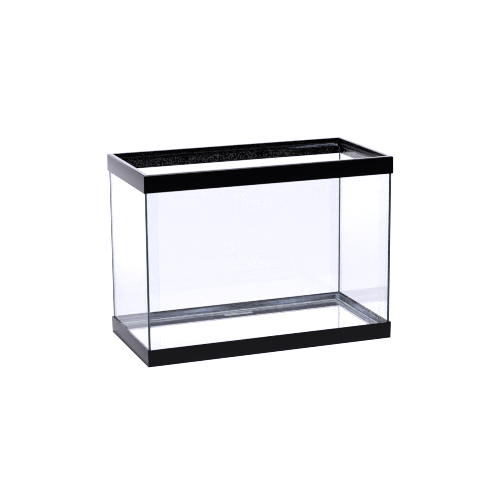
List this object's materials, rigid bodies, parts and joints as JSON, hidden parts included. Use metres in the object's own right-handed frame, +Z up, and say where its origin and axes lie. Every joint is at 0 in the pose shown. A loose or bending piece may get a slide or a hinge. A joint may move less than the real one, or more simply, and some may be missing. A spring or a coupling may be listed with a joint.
{
  "type": "glass aquarium tank",
  "caption": "Open-topped rectangular glass aquarium tank with black moulded top and bottom frames and clear silicone corner joints.",
  "frame": {"origin": "under the middle of the tank, on the surface that it stands on", "axes": "+X along the length, to the right seen from the front; -Y out of the front pane; +Z up"},
  "size_m": [0.411, 0.203, 0.2985],
  "materials": {
    "frame_plastic": "black moulded plastic with a soft gloss and a very fine grain",
    "glass": "clear float glass, dark green at its cut edges",
    "silicone": "clear cured silicone, slightly milky where it is thick",
    "label_film": "blank pale adhesive film"
  },
  "bodies": {
    "root": {"top_frame": "frame_plastic", "bottom_frame": "frame_plastic", "front_pane": "glass", "back_pane": "glass", "left_pane": "glass", "right_pane": "glass", "floor_pane": "glass", "seam_front_left": "silicone", "seam_front_right": "silicone", "seam_back_left": "silicone", "seam_back_right": "silicone", "floor_seam_front": "silicone", "floor_seam_back": "silicone", "floor_seam_left": "silicone", "floor_seam_right": "silicone", "corner_bead_front_left": "silicone", "corner_bead_front_right": "silicone", "corner_bead_back_left": "silicone", "corner_bead_back_right": "silicone", "floor_bead_front": "silicone", "floor_bead_back": "silicone", "floor_bead_left": "silicone", "floor_bead_right": "silicone", "top_bedding": "silicone", "bottom_bedding": "silicone", "blank_label": "label_film"}
  },
  "joints": []
}
